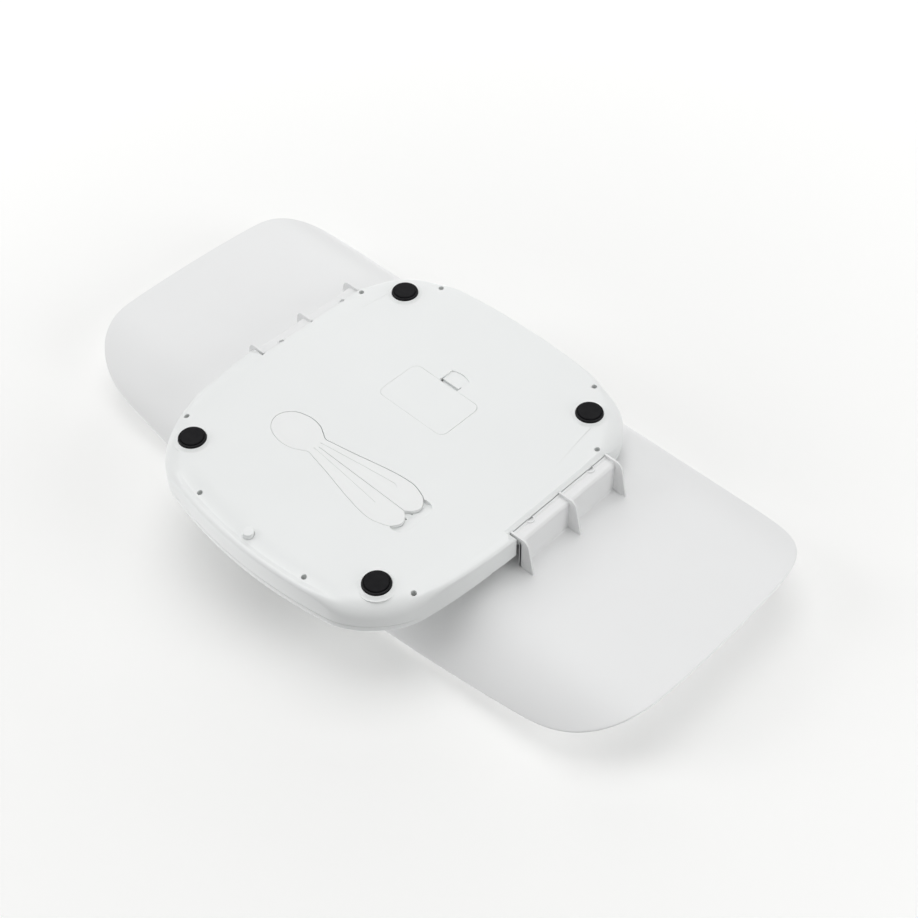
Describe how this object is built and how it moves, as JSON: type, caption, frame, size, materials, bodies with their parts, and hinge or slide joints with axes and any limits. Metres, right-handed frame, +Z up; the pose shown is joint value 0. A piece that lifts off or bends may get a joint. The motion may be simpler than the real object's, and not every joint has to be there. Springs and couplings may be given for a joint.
{
  "type": "digital baby weighing scale",
  "caption": "Flat electronic scale base on rubber feet, carrying a long trough-shaped tray that slides on from behind and grips the base with ribbed side hooks.",
  "frame": {"origin": "on the table, in the middle of the whole scale seen from above", "axes": "+X along the tray, -Y towards the side with the display and its two keys, +Z up"},
  "size_m": [0.643, 0.3702, 0.0929],
  "materials": {
    "white_plastic": "satin white",
    "tray_plastic": "fine satin white",
    "black_plastic": "matt black",
    "black_rubber": "matt black",
    "lens": "polished dark tint",
    "key_grey": "matt pale grey",
    "lcd_glass": "silvered grey-green",
    "board_green": "satin green lacquer",
    "steel": "brushed",
    "nickel": "nickel plated",
    "battery_jacket": "plain blue shrink film",
    "wire_white": "matt white sleeve",
    "wire_red": "matt red",
    "wire_black": "matt black"
  },
  "bodies": {
    "base": {"lower_housing": "white_plastic", "upper_housing": "white_plastic", "foot_carrier_1": "black_plastic", "foot_pad_1": "black_rubber", "load_cell_1": "steel", "foot_carrier_2": "black_plastic", "foot_pad_2": "black_rubber", "load_cell_2": "steel", "foot_carrier_3": "black_plastic", "foot_pad_3": "black_rubber", "load_cell_3": "steel", "foot_carrier_4": "black_plastic", "foot_pad_4": "black_rubber", "load_cell_4": "steel", "housing_screw_1": "nickel", "housing_screw_2": "nickel", "housing_screw_3": "nickel", "housing_screw_4": "nickel", "housing_screw_5": "nickel", "housing_screw_6": "nickel", "housing_screw_7": "nickel", "housing_screw_8": "nickel", "display_window": "lens", "lcd_panel": "lcd_glass", "lcd_frame": "black_plastic", "elastomer_strip": "black_rubber", "main_board": "board_green", "board_screw_1": "nickel", "board_screw_2": "nickel", "power_switch": "black_plastic", "hold_switch": "black_plastic", "unit_switch": "black_plastic", "battery_1": "battery_jacket", "battery_2": "battery_jacket", "battery_3": "battery_jacket", "contact_minus": "nickel", "contact_bridge_left": "nickel", "contact_bridge_right": "nickel", "contact_plus": "nickel", "back_cell_lead_1": "wire_white", "front_cell_lead_1": "wire_white", "back_cell_lead_2": "wire_white", "front_cell_lead_2": "wire_white", "supply_lead_red": "wire_red", "supply_lead_black": "wire_black"},
    "tray": {"tray": "tray_plastic"},
    "power_key": {"power_button": "key_grey"},
    "hold_key": {"hold_button": "key_grey"},
    "unit_key": {"unit_button": "white_plastic"},
    "door": {"battery_door": "white_plastic"},
    "latch": {"door_latch": "white_plastic"},
    "tool": {"stowed_tool": "white_plastic"}
  },
  "joints": [
    {"name": "tray_slide", "type": "slide", "parent": "base", "child": "tray", "axis": [0, 1, 0], "range_m": [0, 0.14]},
    {"name": "power_press", "type": "slide", "parent": "base", "child": "power_key", "axis": [0, 0.1495, -0.9888], "range_m": [0, 0.0008], "stiffness_N_per_m": 2000},
    {"name": "hold_press", "type": "slide", "parent": "base", "child": "hold_key", "axis": [0, 0.1495, -0.9888], "range_m": [0, 0.0008], "stiffness_N_per_m": 2000},
    {"name": "unit_press", "type": "slide", "parent": "base", "child": "unit_key", "axis": [0, 0, 1], "range_m": [0, 0.0008], "stiffness_N_per_m": 2000},
    {"name": "battery_door_hinge", "type": "hinge", "parent": "base", "child": "door", "pos_m": [0.0004, 0.00755, 0.0045], "axis": [-1, 0, 0], "range_deg": [0, 90]},
    {"name": "latch_press", "type": "slide", "parent": "door", "child": "latch", "axis": [0, -1, 0], "range_m": [0, 0.0012], "stiffness_N_per_m": 1500},
    {"name": "tool_lift", "type": "slide", "parent": "base", "child": "tool", "axis": [0, 0, -1], "range_m": [0, 0.02]}
  ]
}
